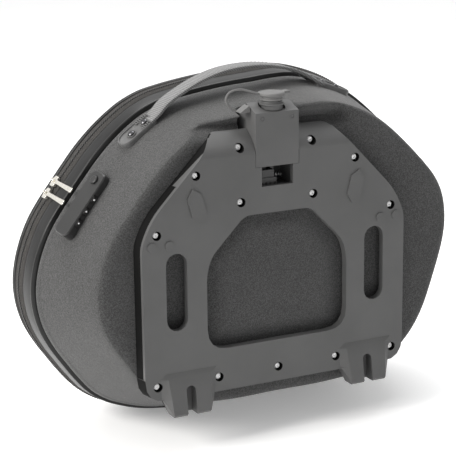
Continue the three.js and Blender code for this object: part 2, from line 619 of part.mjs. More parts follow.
const button = lathe([[0, BUTTON.z0], [BUTTON.radius, BUTTON.z0], [BUTTON.radius, BUTTON.z1 - 0.6],
  [BUTTON.radius - 0.8, BUTTON.z1], [0, BUTTON.z1]], 18);
piece('lock_button', button.translate(BUTTON.at, 0, 0).applyMatrix4(lockFrame), BLACK);

// ---------- zip sliders ----------
SLIDERS.forEach(({ name, at }) => {
  const frame = wallFrame(at, SLIDER.y);
  const { length, width, base, height } = SLIDER;
  const top = base + height;
  const outline = rounded([
    [-length / 2, -width / 2, 2], [length / 2, -width / 2, 3.5], [length / 2, width / 2, 3.5],
    [-length / 2, width / 2, 2],
  ]);
  const body = new THREE.ExtrudeGeometry(outline, {
    depth: height, bevelEnabled: false, curveSegments: 3,
  }).translate(0, 0, base);
  const bridge = rounded([
    [-3.6, 0, 0], [-3.6, 2.6, 0], [-2.2, 4.2, 0], [2.2, 4.2, 0], [3.6, 2.6, 0], [3.6, 0, 0],
  ]);
  bridge.holes.push(rounded([
    [-2.4, 0.2, 0], [2.4, 0.2, 0], [2.4, 2.1, 0], [1.6, 2.9, 0], [-1.6, 2.9, 0], [-2.4, 2.1, 0],
  ]));
  const arch = new THREE.ExtrudeGeometry(bridge, { depth: 1.8, bevelEnabled: false })
    .applyMatrix4(new THREE.Matrix4().makeBasis(
      new THREE.Vector3(0, 1, 0), new THREE.Vector3(0, 0, 1), new THREE.Vector3(1, 0, 0)))
    .translate(-0.9, 0, top - 0.2);
  piece(`slider_${name}`, geometryOf(solid(body).add(solid(arch))), ZINC).applyMatrix4(frame);

  // The pull's eye passes round one leg of the bridge; its end bar turns under the bridge.
  const { length: reach, width: wide, thick } = PULL;
  const tab = rounded([
    [-2.9, 0.8, 0], [-2.9, -6, 0], [-1.9, -10, 0], [-wide / 2, 1 - reach, 0], [1 - wide / 2, -reach, 0],
    [wide / 2 - 1, -reach, 0], [wide / 2, 1 - reach, 0], [1.9, -10, 0], [2.9, -6, 0], [2.9, 0.8, 0],
  ]);
  tab.holes.push(rounded([[-1.5, -0.8, 0], [1.5, -0.8, 0], [1.5, -5.4, 0], [-1.5, -5.4, 0]]));
  const plate = new THREE.ExtrudeGeometry(tab, { depth: thick, bevelEnabled: false })
    .translate(0, 0, -thick / 2).rotateX(THREE.MathUtils.degToRad(PULL.drop))
    .translate(0, 0, top + 1.4);
  piece(`pull_${name}`, plate, ZINC).applyMatrix4(frame);
});

// The origin is at the middle of the footprint, at floor level.
const box = new THREE.Box3().setFromObject(saddlebag);
const middle = box.getCenter(new THREE.Vector3());
saddlebag.position.set(-middle.x, -middle.y, -box.min.z);

export default saddlebag;
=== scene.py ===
import json
import math

import bmesh
import bpy
from mathutils import Matrix, Quaternion, Vector, noise

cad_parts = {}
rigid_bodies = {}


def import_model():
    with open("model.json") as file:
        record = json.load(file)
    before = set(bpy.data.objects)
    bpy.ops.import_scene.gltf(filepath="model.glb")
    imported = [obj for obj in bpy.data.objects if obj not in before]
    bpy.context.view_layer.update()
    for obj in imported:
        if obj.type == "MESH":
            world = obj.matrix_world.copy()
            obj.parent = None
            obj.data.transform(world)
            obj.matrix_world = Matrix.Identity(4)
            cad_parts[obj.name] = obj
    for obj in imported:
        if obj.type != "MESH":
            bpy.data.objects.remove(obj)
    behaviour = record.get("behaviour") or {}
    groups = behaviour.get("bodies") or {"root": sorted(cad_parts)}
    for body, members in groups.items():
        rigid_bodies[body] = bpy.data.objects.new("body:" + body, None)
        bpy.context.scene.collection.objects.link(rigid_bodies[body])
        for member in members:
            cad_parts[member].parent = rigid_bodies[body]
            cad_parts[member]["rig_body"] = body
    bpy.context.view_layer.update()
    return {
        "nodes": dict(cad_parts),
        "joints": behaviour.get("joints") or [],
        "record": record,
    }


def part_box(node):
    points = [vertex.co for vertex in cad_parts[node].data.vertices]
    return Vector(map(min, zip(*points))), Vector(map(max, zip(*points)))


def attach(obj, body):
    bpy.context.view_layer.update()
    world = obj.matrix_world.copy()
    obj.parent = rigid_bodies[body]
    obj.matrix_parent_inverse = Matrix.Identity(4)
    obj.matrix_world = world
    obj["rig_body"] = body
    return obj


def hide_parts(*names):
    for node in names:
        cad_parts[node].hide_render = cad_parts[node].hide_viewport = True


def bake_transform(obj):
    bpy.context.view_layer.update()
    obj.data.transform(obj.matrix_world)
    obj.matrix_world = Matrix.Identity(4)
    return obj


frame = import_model()
NODES = frame["nodes"]
RECORD = frame["record"]

# ---------------------------------------------------------------- the frame's own places
# Lengths below are in millimetres from the plate: x from its middle, y back from its face, z up.
MM = 0.001
CARRIER = next(m for m in RECORD["mounts"] if m["name"] == "carrier_face")["pos_m"]
CARRIER_HEIGHT = 86
ORIGIN = Vector((CARRIER[0], CARRIER[1], CARRIER[2] - CARRIER_HEIGHT * MM))

SEAM_Y = 103.4                        # open edge of the inner shell
ZIP_Y = 132.6                         # line where the two halves part
LID_EDGE_Y = 150.3
LID_FACE_Y = 196
FLARE = 8                             # the lid's edge stands this far outside the inner shell
WALL = 5
DRAFT_CENTRE = Vector((54, 241))
FACE_POLE = Vector((14, 201))
RIM_STEPS = 480
WALL_ROWS = [(15, 0.845), (16.5, 0.864), (21, 0.879), (45, 0.915), (75, 0.96), (SEAM_Y, 1)]
LID_ROWS = [(LID_EDGE_Y, 1), (164, 0.965), (178, 0.93), (188, 0.89), (194, 0.85), (LID_FACE_Y, 0.8)]
# The carrier plate's top rolls back: (depth, height) along its front.
ROLL = [(0, 300), (1, 304), (3, 308), (6.3, 312), (10.6, 316), (15.6, 320), (20.2, 323.5), (28, 329)]
ROLL_HALF, ROLL_ROOM, ROLL_END = 78, 5.2, 326.5
GUSSET_HALF = 94


def place(x, y, z):
    return ORIGIN + Vector((x, y, z)) * MM


def joint(name):
    return next(j for j in frame["joints"] if j["name"] == name)


def smooth(low, high, value):
    """0 at low, 1 at high and soft at both; low may be the larger."""
    share = min(1.0, max(0.0, (value - low) / (high - low)))
    return share * share * (3 - 2 * share)


def catmull(a, b, c, d, t):
    return 0.5 * ((2 * b) + (c - a) * t + (2 * a - 5 * b + 4 * c - d) * t * t
                  + (3 * b - a - 3 * c + d) * t ** 3)


def resampled(points, count, closed):
    """The smooth line through points, cut into equal steps."""
    last = len(points)
    fine = []
    for i in range(last if closed else last - 1):
        near = [points[k % last] if closed else points[min(max(k, 0), last - 1)] for k in range(i - 1, i + 3)]
        fine += [catmull(*near, step / 12) for step in range(12)]
    fine.append(points[0] if closed else points[-1])
    lengths = [0.0]
    for a, b in zip(fine, fine[1:]):
        lengths.append(lengths[-1] + (b - a).length)
    result, k = [], 0
    for i in range(count):
        want = lengths[-1] * i / (count if closed else count - 1)
        while k < len(fine) - 2 and lengths[k + 1] < want:
            k += 1
        result.append(fine[k].lerp(fine[k + 1], (want - lengths[k]) / (lengths[k + 1] - lengths[k])))
    return result


def rim_from_band():
    """The bag's outline, read from the ridge of the lid's rim band, moved in to the inner shell's edge."""
    ridge_y, ridge_grow = 144, 8.6
    ring = {}
    for vertex in NODES["outer_rim_band"].data.vertices:
        spot = (vertex.co - ORIGIN) / MM
        if abs(spot.y - ridge_y) < 0.02:
            ring[(round(spot.x, 1), round(spot.z, 1))] = Vector((spot.x, spot.z))
    centre = Vector((5, 185))
    ordered = sorted(ring.values(), key=lambda p: -math.atan2(p.y - centre.y, p.x - centre.x))
    line = resampled(ordered, RIM_STEPS, True)
    outward = normals_of(line)
    moved = [p - n * ridge_grow for p, n in zip(line, outward)]
    return resampled(moved, RIM_STEPS, True)


def normals_of(line):
    """Outward normals of a closed clockwise line in X and Z."""
    count = len(line)
    result = []
    for i in range(count):
        along = line[(i + 1) % count] - line[i - 1]
        result.append(Vector((-along.y, along.x)).normalized())
    return result


RIM = rim_from_band()
RIM_OUT = normals_of(RIM)


def drawn(i, y, grow=0.0, scale=1.0):
    """A point over rim station i, moved out by grow and drawn towards the draft centre."""
    spot = RIM[i % RIM_STEPS] + RIM_OUT[i % RIM_STEPS] * grow
    spot = DRAFT_CENTRE + (spot - DRAFT_CENTRE) * scale
    return Vector((spot.x, y, spot.y))


def wall_scale(y):
    for (y0, s0), (y1, s1) in zip(WALL_ROWS, WALL_ROWS[1:]):
        if y <= y1:
            return s0 + (s1 - s0) * (y - y0) / (y1 - y0)
    return 1.0


def nearest_station(x, z):
    return min(range(RIM_STEPS), key=lambda i: (RIM[i] - Vector((x, z))).length)


def wall_matrix(station, y):
    """Axes on the wall: X along the rim, Y towards the lid, Z straight out. In metres."""
    here = drawn(station, y, 0, wall_scale(y))
    ahead = drawn(station + 2, y, 0, wall_scale(y)) - drawn(station - 2, y, 0, wall_scale(y))
    along = ahead.normalized()
    towards_lid = drawn(station, y + 1, 0, wall_scale(y + 1)) - drawn(station, y - 1, 0, wall_scale(y - 1))
    out = along.cross(towards_lid).normalized()
    return axes(along, out.cross(along), out, place(*here))


def axes(x, y, z, at):
    return Matrix(((x.x, y.x, z.x, at.x), (x.y, y.y, z.y, at.y), (x.z, y.z, z.z, at.z), (0, 0, 0, 1)))


# ---------------------------------------------------------------- materials
def node(tree, kind, **values):
    made = tree.nodes.new(kind)
    for key, value in values.items():
        if key in made.inputs:
            made.inputs[key].default_value = value
        else:
            setattr(made, key, value)
    return made


class Surface:
    """A Principled material with helpers for grain, colour and bump."""

    def __init__(self, name, roughness, metallic=0.0, **sockets):
        self.material = bpy.data.materials.new(name)
        self.material.use_nodes = True
        self.tree = self.material.node_tree
        self.shader = self.tree.nodes["Principled BSDF"]
        self.shader.inputs["Roughness"].default_value = roughness
        self.shader.inputs["Metallic"].default_value = metallic
        for socket, value in sockets.items():
            self.shader.inputs[socket.replace("_", " ")].default_value = value
        self.coords = node(self.tree, "ShaderNodeTexCoord")
        self.height = None

    def link(self, a, b):
        self.tree.links.new(a, b)

    def grain(self, size, detail=2.0, stretch=(1, 1, 1)):
        """Noise whose features are about size millimetres across."""
        mapping = node(self.tree, "ShaderNodeMapping")
        mapping.inputs["Scale"].default_value = stretch
        self.link(self.coords.outputs["Object"], mapping.inputs["Vector"])
        made = node(self.tree, "ShaderNodeTexNoise", Scale=1 / (size * MM), Detail=detail, Roughness=0.55)
        self.link(mapping.outputs["Vector"], made.inputs["Vector"])
        return made.outputs["Fac"]

    def cells(self, size):
        """Rounded cells, as in leather grain."""
        made = node(self.tree, "ShaderNodeTexVoronoi", Scale=1 / (size * MM), feature="SMOOTH_F1")
        self.link(self.coords.outputs["Object"], made.inputs["Vector"])
        return made.outputs["Distance"]

    def threads(self, pitch, turn):
        """Fine parallel ridges of the given pitch, across the direction turned by Euler angles."""
        mapping = node(self.tree, "ShaderNodeMapping")
        mapping.inputs["Rotation"].default_value = turn
        self.link(self.coords.outputs["Object"], mapping.inputs["Vector"])
        wave = node(self.tree, "ShaderNodeTexWave", Scale=math.pi / 10 / (pitch * MM), Distortion=0.6)
        wave.inputs["Detail Scale"].default_value = 3
        self.link(mapping.outputs["Vector"], wave.inputs["Vector"])
        return wave.outputs["Fac"]

    def mixed(self, factor, low, high, start=0.3, end=0.7):
        ramp = node(self.tree, "ShaderNodeValToRGB")
        ramp.color_ramp.elements[0].position = start
        ramp.color_ramp.elements[1].position = end
        ramp.color_ramp.elements[0].color = (*low, 1)
        ramp.color_ramp.elements[1].color = (*high, 1)
        self.link(factor, ramp.inputs["Fac"])
        return ramp.outputs["Color"]

    def colour(self, *layers):
        """Each layer's colour, multiplied together, is the base colour."""
        result = layers[0]
        for layer in layers[1:]:
            both = node(self.tree, "ShaderNodeMix", data_type="RGBA", blend_type="MULTIPLY")
            both.inputs["Factor"].default_value = 1
            self.link(result, both.inputs[6])
            self.link(layer, both.inputs[7])
            result = both.outputs[2]
        self.link(result, self.shader.inputs["Base Color"])

    def bump(self, factor, depth, strength=1.0):
        """Relief of the given depth in millimetres; later calls add to it."""
        made = node(self.tree, "ShaderNodeBump", Strength=strength, Distance=depth * MM)
        self.link(factor, made.inputs["Height"])
        if self.height:
            self.link(self.height, made.inputs["Normal"])
        self.height = made.outputs["Normal"]
        self.link(self.height, self.shader.inputs["Normal"])

    def roughness(self, factor, low, high):
        spread = node(self.tree, "ShaderNodeMapRange")
        spread.inputs["To Min"].default_value = low
        spread.inputs["To Max"].default_value = high
        self.link(factor, spread.inputs["Value"])
        self.link(spread.outputs["Result"], self.shader.inputs["Roughness"])


def grey(value, warm=0.0):
    return (value * (1 + warm), value, value * (1 - warm))


def woven(name, dark, light, pitch, depth, warm=0.0, sheen=0.25):
    s = Surface(name, 0.9, Sheen_Weight=sheen, Sheen_Roughness=0.45, Specular_IOR_Level=0.25)
    warp = s.threads(pitch, (0, 0, math.radians(45)))
    weft = s.threads(pitch, (math.radians(20), math.radians(90), 0))
    fleck = s.grain(pitch * 1.3, 3)
    slub = s.grain(pitch * 2.6, 2)
    s.colour(s.mixed(fleck, grey(dark, warm), grey(light, warm), 0.36, 0.64),
             s.mixed(s.grain(70, 2), grey(0.9), grey(1.0)),
             s.mixed(slub, grey(0.8), grey(1.05), 0.36, 0.64),
             s.mixed(warp, grey(0.8), grey(1.0), 0.1, 0.9))
    s.bump(warp, depth, 0.6)
    s.bump(weft, depth, 0.6)
    s.bump(fleck, depth, 0.8)
    s.bump(slub, depth * 2, 0.8)
    s.roughness(fleck, 0.82, 0.97)
    return s.material


def moulded(name, dark, light, rough=(0.5, 0.62), spark=0.35, depth=0.07, warm=0.0, gloss=0.4):
    s = Surface(name, 0.55, Specular_IOR_Level=gloss)
    fine = s.grain(spark, 3)
    s.colour(s.mixed(s.grain(60, 3), grey(dark, warm), grey(light, warm)),
             s.mixed(fine, grey(0.88), grey(1.0)))
    s.bump(fine, depth, 0.5)
    s.roughness(s.grain(18, 3), *rough)
    return s.material


def hide(name, dark, light, rough, cell, depth, **sockets):
    s = Surface(name, rough[0], **sockets)
    cells = s.cells(cell)
    s.colour(s.mixed(s.grain(25, 3), grey(dark), grey(light)),
             s.mixed(cells, grey(0.82), grey(1.0), 0.1, 0.6))
    s.bump(cells, depth, 0.5)
    s.bump(s.grain(cell * 0.4, 2), depth * 0.5, 0.5)
    s.roughness(s.grain(12, 3), *rough)
    return s.material


def stamped(name, dark, light):
    """Leather pressed with a fine diagonal lattice."""
    s = Surface(name, 0.5, Specular_IOR_Level=0.4)
    one = s.threads(2.1, (0, math.radians(45), 0))
    other = s.threads(2.1, (0, math.radians(45), math.radians(90)))
    s.colour(s.mixed(one, grey(dark ** 0.5), grey(light ** 0.5), 0.1, 0.7),
             s.mixed(other, grey(dark ** 0.5), grey(light ** 0.5), 0.1, 0.7))
    s.bump(one, 0.25, 0.7)
    s.bump(other, 0.25, 0.7)
    s.roughness(s.grain(12, 3), 0.45, 0.6)
    return s.material


def metal(name, colour, rough):
    s = Surface(name, rough[0], 1.0)
    low = tuple(c * 0.86 for c in colour)
    s.colour(s.mixed(s.grain(3, 4), low, colour))
    s.bump(s.grain(0.25, 2, stretch=(1, 6, 1)), 0.012, 0.4)
    s.roughness(s.grain(1.5, 4), *rough)
    return s.material


FABRIC = woven("shell_fabric", 0.042, 0.092, 0.8, 0.16)
LINING = woven("lining_fabric", 0.11, 0.17, 0.6, 0.08)
TAPE = woven("zip_tape", 0.05, 0.088, 0.5, 0.1, warm=0.045, sheen=0.15)
WEBBING = woven("webbing", 0.02, 0.035, 1.1, 0.2)
VINYL = hide("rim_vinyl", 0.01, 0.016, (0.26, 0.36), 0.9, 0.02, Specular_IOR_Level=0.32)
PLASTIC = moulded("moulded_plastic", 0.08, 0.093)
DARK_PLASTIC = moulded("backing_plastic", 0.035, 0.045)
LATCH = moulded("latch_plastic", 0.042, 0.06, (0.4, 0.55))
# Black rubber for the plate's gaskets, also used as painted shade on the plate's sides and inside its screw
# holes.
SEAL_AND_PAINTED_SHADE = moulded("black_rubber", 0.003, 0.006, (0.75, 0.9), 0.6, 0.05, gloss=0.12)
RUBBER = moulded("grey_rubber", 0.115, 0.15, (0.55, 0.7), 0.6, 0.05, warm=0.01)
LEATHER = hide("handle_leather", 0.075, 0.105, (0.42, 0.55), 0.8, 0.09)
STAMPED = stamped("handle_leather_stamped", 0.06, 0.25)
THREAD = woven("thread", 0.3, 0.42, 0.4, 0.05)
SATIN = moulded("lock_case", 0.02, 0.028, (0.28, 0.38), 0.5, 0.02)
NICKEL = metal("nickel", (0.86, 0.83, 0.76), (0.16, 0.26))
# Near-white screw heads: partly the zinc's own bright tone and partly painted highlight.
ZINC_AND_HIGHLIGHT = moulded("zinc_screw", 0.95, 1.0, (0.25, 0.35), 0.5, 0.02, gloss=1.0)
STEEL = metal("spring_steel", (0.62, 0.62, 0.62), (0.25, 0.4))
RIVET = metal("rivet_metal", (0.09, 0.09, 0.095), (0.22, 0.32))
BLACKENED = metal("dark_screw", (0.12, 0.12, 0.12), (0.35, 0.5))
MARK = moulded("dial_mark", 0.8, 0.9, (0.3, 0.4))


# ---------------------------------------------------------------- mesh helpers
def added(name, mesh, *materials):
    piece = bpy.data.objects.new(name, mesh)
    bpy.context.scene.collection.objects.link(piece)
    for material in materials:
        mesh.materials.append(material)
    return piece


def from_bmesh(name, bm, *materials, sharp=35):
    bmesh.ops.recalc_face_normals(bm, faces=bm.faces)
    mesh = bpy.data.meshes.new(name)
    bm.to_mesh(mesh)
    bm.free()
    soften(mesh, sharp)
    return added(name, mesh, *materials)


def soften(mesh, sharp):
    for face in mesh.polygons:
        face.use_smooth = True
    mesh.set_sharp_from_angle(angle=math.radians(sharp))


def around(sides):
    """Equal angles all the way round."""
    return [2 * math.pi * k / sides for k in range(sides)]


def grid(bm, rows, closed_around, closed_rows=False, material=0):
    """Quads between rows of points; each row runs around."""
    made = [[bm.verts.new(p) for p in row] for row in rows]
    count = len(made[0])
    pairs = list(zip(made, made[1:])) + ([(made[-1], made[0])] if closed_rows else [])
    for low, high in pairs:
        for i in range(count if closed_around else count - 1):
            k = (i + 1) % count
            face = bm.faces.new((low[i], low[k], high[k], high[i]))
            face.material_index = material
    return made


def fan(bm, ring, centre):
    """Triangles from a closed ring to one point."""
    middle = bm.verts.new(centre)
    for a, b in zip(ring, ring[1:] + ring[:1]):
        bm.faces.new((a, b, middle))


def tube(bm, points, radius, sides, up=Vector((0, 1, 0)), material=0):
    """A round bar along points, with capped ends."""
    rows = []
    for i, point in enumerate(points):
        along = (points[min(i + 1, len(points) - 1)] - points[max(i - 1, 0)]).normalized()
        side = along.cross(up).normalized()
        top = side.cross(along).normalized()
        rows.append([point + side * math.cos(a) * radius + top * math.sin(a) * radius for a in around(sides)])
    made = grid(bm, rows, True, False, material)
    bm.faces.new(made[0]).material_index = material
    bm.faces.new(list(reversed(made[-1]))).material_index = material


def lathe(bm, profile, matrix, sides):
    """Turns a profile of (radius, height) in millimetres about the matrix's Z axis."""
    rows = [[matrix @ (Vector((r * math.cos(a), r * math.sin(a), z)) * MM) for a in around(sides)]
            for r, z in profile if r > 0]
    made = grid(bm, rows, True)
    for row, (r, z) in ((made[0], profile[0]), (made[-1], profile[-1])):
        if r <= 0:
            fan(bm, row, matrix @ Vector((0, 0, z * MM)))


def rounded_block(bm, matrix, size, round_by):
    """A box of the given size in millimetres, its edges rounded."""
    made = bmesh.ops.create_cube(bm, size=1.0)
    vertices = made["verts"]
    for v in vertices:
        v.co = matrix @ Vector((v.co.x * size[0] * MM, v.co.y * size[1] * MM, v.co.z * size[2] * MM))
    edges = list({e for v in vertices for e in v.link_edges})
    bmesh.ops.bevel(bm, geom=edges, offset=round_by * MM, segments=2, profile=0.5, affect="EDGES",
                    clamp_overlap=True)


EDGE_ANGLE = 30                       # an edge turned by more than this many degrees is rounded
SEAM_TOP, SEAM_HALF = 300, 27
FLANK_DEPTH, FLANK_HALF = 5.5, 60     # painted shade on the plate's sides behind this depth
HOLE_DEPTH, HOLE_REACH = 0.8, 5.2     # and on the insides of its screw holes


def flush_seam(spot):
    """True where the tower's front and the carrier plate's meet in one plane."""
    x, y, z = (spot - ORIGIN) / MM
    return abs(y) < 0.4 and z < SEAM_TOP and abs(x) < SEAM_HALF


def paint_flank_shade(piece, material):
    """Paints shade on the carrier plate's sides and the insides of its screw holes, as a second, dark
    material.
    """
    piece.data.materials.append(material)
    screws = [(sum(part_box(n), Vector()) / 2 - ORIGIN) / MM for n in NODES if n.startswith("plate_screw")]
    for face in piece.data.polygons:
        x, y, z = (face.center - ORIGIN) / MM
        outer = abs(face.normal.x) > 0.45 and face.normal.x * x > 0
        in_hole = any(math.hypot(x - p.x, z - p.z) < HOLE_REACH for p in screws)
        if outer and y > FLANK_DEPTH and abs(x) > FLANK_HALF or in_hole and y > HOLE_DEPTH:
            face.material_index = 1


def refined(name, source, width, material, segments=2, seam=None):
    """The CAD node's own shape with its edges rounded, as a new piece that stands for it."""
    bm = bmesh.new()
    bm.from_mesh(NODES[source].data)
    bmesh.ops.remove_doubles(bm, verts=bm.verts, dist=1e-6)
    bmesh.ops.dissolve_limit(bm, angle_limit=math.radians(1.0), verts=bm.verts, edges=bm.edges)
    weight = bm.edges.layers.float.new("bevel_weight_edge")
    for edge in bm.edges:
        turned = edge.calc_face_angle(0) > math.radians(EDGE_ANGLE)
        edge[weight] = 1.0 if turned and not (seam and all(seam(v.co) for v in edge.verts)) else 0.0
    mesh = bpy.data.meshes.new(name)
    bm.to_mesh(mesh)
    bm.free()
    mesh.materials.clear()
    piece = added(name, mesh, material)
    bevel = piece.modifiers.new("edges", "BEVEL")
    bevel.width = width * MM
    bevel.segments = segments
    bevel.limit_method = "WEIGHT"
    applied(piece)
    soften(piece.data, EDGE_ANGLE + 10)
    evened = piece.modifiers.new("even", "WEIGHTED_NORMAL")
    evened.keep_sharp = True
    evened.weight = 100
    applied(piece)
    stands_for(piece, source)
    return piece


def applied(piece):
    """Bakes the piece's modifiers into its mesh."""
    graph = bpy.context.evaluated_depsgraph_get()
    graph.update()
    mesh = bpy.data.meshes.new_from_object(piece.evaluated_get(graph))
    piece.modifiers.clear()
    piece.data = mesh


def stands_for(piece, *nodes, body=None):
    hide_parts(*nodes)
    if body is not False:
        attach(piece, body or NODES[nodes[0]]["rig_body"])
    return piece


def swollen(piece, pinned, cap, pressure=3.0, frames=14):
    """Lets the fabric swell under a little pressure between its pinned points, by cloth simulation."""
    rest = [v.co.copy() for v in piece.data.vertices]
    group = piece.vertex_groups.new(name="pinned")
    for i, weight in pinned.items():
        group.add([i], weight, "REPLACE")
    cloth = piece.modifiers.new("cloth", "CLOTH")
    cloth.settings.quality = 5
    cloth.settings.mass = 0.3
    cloth.settings.tension_stiffness = 40
    cloth.settings.compression_stiffness = 40
    cloth.settings.bending_stiffness = 8
    cloth.settings.vertex_group_mass = "pinned"
    cloth.settings.use_pressure = True
    cloth.settings.uniform_pressure_force = pressure
    cloth.settings.effector_weights.gravity = 0
    scene = bpy.context.scene
    for step in range(1, frames + 1):
        scene.frame_set(step)
    applied(piece)
    scene.frame_set(1)
    for v, home in zip(piece.data.vertices, rest):
        move = v.co - home
        if move.length > cap * MM:
            v.co = home + move.normalized() * cap * MM
    return piece


# ---------------------------------------------------------------- the bag's two shells
WINDOW = [Vector(p) for p in ((-38, 238.3), (38, 238.3), (77, 198.8),
                              (81.6, 101), (-81.6, 101), (-77, 198.8))]
POCKET_HALF, POCKET_BACK, POCKET_LOW = 29, 43, 256
FACE_PUFF = 4.6                       # the fabric bulges this far into the window
LID_CROWN = 3.4
FACE_RINGS = 34
LINING_RINGS = 16


def depth_in_window(x, z):
    """How far inside the plate's window a point is; negative outside."""
    inside = math.inf
    for a, b in zip(WINDOW, WINDOW[1:] + WINDOW[:1]):
        along = (b - a).normalized()
        inside = min(inside, along.y * (x - a.x) - along.x * (z - a.y))
    return inside


def roll_depth(z):
    for (d0, z0), (d1, z1) in zip(ROLL, ROLL[1:]):
        if z <= z1:
            return max(0.0, d0 + (d1 - d0) * (z - z0) / (z1 - z0))
    return ROLL[-1][0]


def pressed(spot, skin):
    """The recesses for the plate's rolled top and the tower; skin is how far inside the outer face it is."""
    x, y, z = spot
    rolled = roll_depth(min(z, ROLL_END)) + ROLL_ROOM + skin
    share = smooth(ROLL_HALF + 22, ROLL_HALF, abs(x)) * (1 - smooth(ROLL_END, ROLL_END + 16, z))
    y += max(0.0, rolled - y) * share
    within = (1 - smooth(POCKET_HALF - 3.5 + skin, POCKET_HALF + 2.5 + skin, abs(x)))
    within *= smooth(POCKET_LOW - 6 - skin, POCKET_LOW + 1 - skin, z)
    back = POCKET_BACK + skin
    return Vector((x, y + max(0.0, back - y) * within, z))


def wavering(spot, size, amount):
    """Slow unevenness of the foam."""
    return noise.noise(Vector(spot) / size) * amount


def shell_rows(rows, steps):
    """Rows of (y, scale) made smooth, with steps between each two."""
    points = [Vector((y, s * 100)) for y, s in rows]
    result = []
    for i in range(len(points) - 1):
        near = [points[min(max(k, 0), len(points) - 1)] for k in range(i - 1, i + 3)]
        result += [catmull(*near, k / steps) for k in range(steps)]
    result.append(points[-1])
    return [(p.x, p.y / 100) for p in result]


def inwards(spot, share):
    """A point of the face's edge drawn in to the given share of its way from the pole."""
    return Vector((FACE_POLE.x + (spot.x - FACE_POLE.x) * share, spot.y,
                   FACE_POLE.y + (spot.z - FACE_POLE.y) * share))


def inner_shell():
    """The bag's own half: its curled open edge, drafted wall and pressed front, and the lining inside."""
    stations = range(0, RIM_STEPS, 2)
    rows = []
    wall = shell_rows(WALL_ROWS[:5] + [(96, 0.9905)], 5)
    curl = [(99.5, 0.0), (101.3, -0.5), (102.5, -1.6), (103.1, -3.2), (103.1, -5.0)]
    for y, grow in reversed(curl):
        rows.append([drawn(i, y, grow) for i in stations])
    for y, scale in reversed(wall):
        rows.append([drawn(i, y, 0, scale) for i in stations])
    front_y = WALL_ROWS[0][0]
    edge = rows[-1]
    for k in range(1, FACE_RINGS):
        share = 1 - k / FACE_RINGS
        rows.append([inwards(p, share) for p in edge])
    shaped = []
    for row in rows:
        line = []
        for p in row:
            if p.y < front_y + 0.2:
                puff = FACE_PUFF * smooth(2, 20, depth_in_window(p.x, p.z))
                p = Vector((p.x, p.y - puff, p.z))
            line.append(place(*pressed(p, 0)))
        shaped.append(line)
    bm = bmesh.new()
    made = grid(bm, shaped, True)
    pole = Vector((FACE_POLE.x, front_y - FACE_PUFF, FACE_POLE.y))
    fan(bm, made[-1], place(*pole))
    bm.verts.index_update()
    pinned = {}
    for r, row in enumerate(made):
        for v in row:
            spot = (v.co - ORIGIN) / MM
            held = 1.0 if r < 8 else 0.0
            if spot.y < 24 or spot.z > 240 and abs(spot.x) < 45:
                held = 1.0
            pinned[v.index] = max(held, 0.02)
    pinned[len(bm.verts) - 1] = 1.0
    piece = from_bmesh("inner_shell_fabric", bm, FABRIC, LINING, sharp=60)
    swollen(piece, pinned, 3.0)
    for v in piece.data.vertices:
        spot = (v.co - ORIGIN) / MM
        if spot.y > 26:
            v.co += Vector((0, 0, wavering(spot, 45, 0.5) * MM))

    lining = bmesh.new()
    inner = [[drawn(i, 103.1, -5.0) for i in stations]]
    inner += [[drawn(i, y + WALL * (1 - (y - 15) / 90), -WALL, scale) for i in stations]
              for y, scale in reversed(wall)]
    inner_edge = inner[-1]
    inner += [[inwards(p, 1 - k / LINING_RINGS) for p in inner_edge] for k in range(1, LINING_RINGS)]
    made = grid(lining, [[place(*pressed(p, WALL)) for p in row] for row in inner], True)
    fan(lining, made[-1], place(FACE_POLE.x, inner_edge[0].y, FACE_POLE.y))
    inside = from_bmesh("inner_lining", lining, LINING, sharp=60)
    return piece, inside


def lid_shell():
    """The lid: a curled edge, a short drafted wall and a crowned face with a sewn channel, and its lining."""
    stations = range(0, RIM_STEPS, 2)
    wall = shell_rows(LID_ROWS, 5)
    edge_curl = [(148.9, FLARE - 5), (148.9, FLARE - 2.2), (149.6, FLARE - 0.7)]
    rows = [[drawn(i, y, grow) for i in stations] for y, grow in edge_curl]
    rows += [[drawn(i, y, FLARE, scale) for i in stations] for y, scale in wall]
    edge = rows[-1]
    for k in range(1, FACE_RINGS):
        share = 1 - k / FACE_RINGS
        crown = LID_CROWN * (1 - share ** 2)
        channel = -1.3 * math.exp(-((share - 0.86) / 0.02) ** 2)
        rows.append([inwards(p, share) + Vector((0, crown + channel, 0)) for p in edge])
    bm = bmesh.new()
    made = grid(bm, [[place(*p) for p in row] for row in rows], True)
    fan(bm, made[-1], place(FACE_POLE.x, LID_FACE_Y + LID_CROWN, FACE_POLE.y))
    bm.verts.index_update()
    pinned = {}
    for r, row in enumerate(made):
        for v in row:
            channel_row = abs((r - len(edge_curl) - len(wall)) / FACE_RINGS - 0.13) < 0.02
            pinned[v.index] = 1.0 if r < 7 or channel_row else 0.02
    pinned[len(bm.verts) - 1] = 0.02
    piece = from_bmesh("outer_shell_fabric", bm, FABRIC, sharp=60)
    swollen(piece, pinned, 3.0)

    lining = bmesh.new()
    inner = [[drawn(i, 148.9, FLARE - 5) for i in stations]]
    inner += [[drawn(i, y - WALL * (y - 150) / 46, FLARE - WALL, s) for i in stations] for y, s in wall]
    inner_edge = inner[-1]
    inner += [[inwards(p, 1 - k / LINING_RINGS) for p in inner_edge] for k in range(1, LINING_RINGS)]
    made = grid(lining, [[place(*p) for p in row] for row in inner], True)
    fan(lining, made[-1], place(FACE_POLE.x, inner_edge[0].y, FACE_POLE.y))
    inside = from_bmesh("outer_lining", lining, LINING, sharp=60)
    return piece, inside


inner_fabric, inner_lining = inner_shell()
stands_for(inner_fabric, "inner_shell")
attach(inner_lining, "bag")
outer_fabric, outer_lining = lid_shell()
stands_for(outer_fabric, "outer_shell")
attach(outer_lining, "lid")


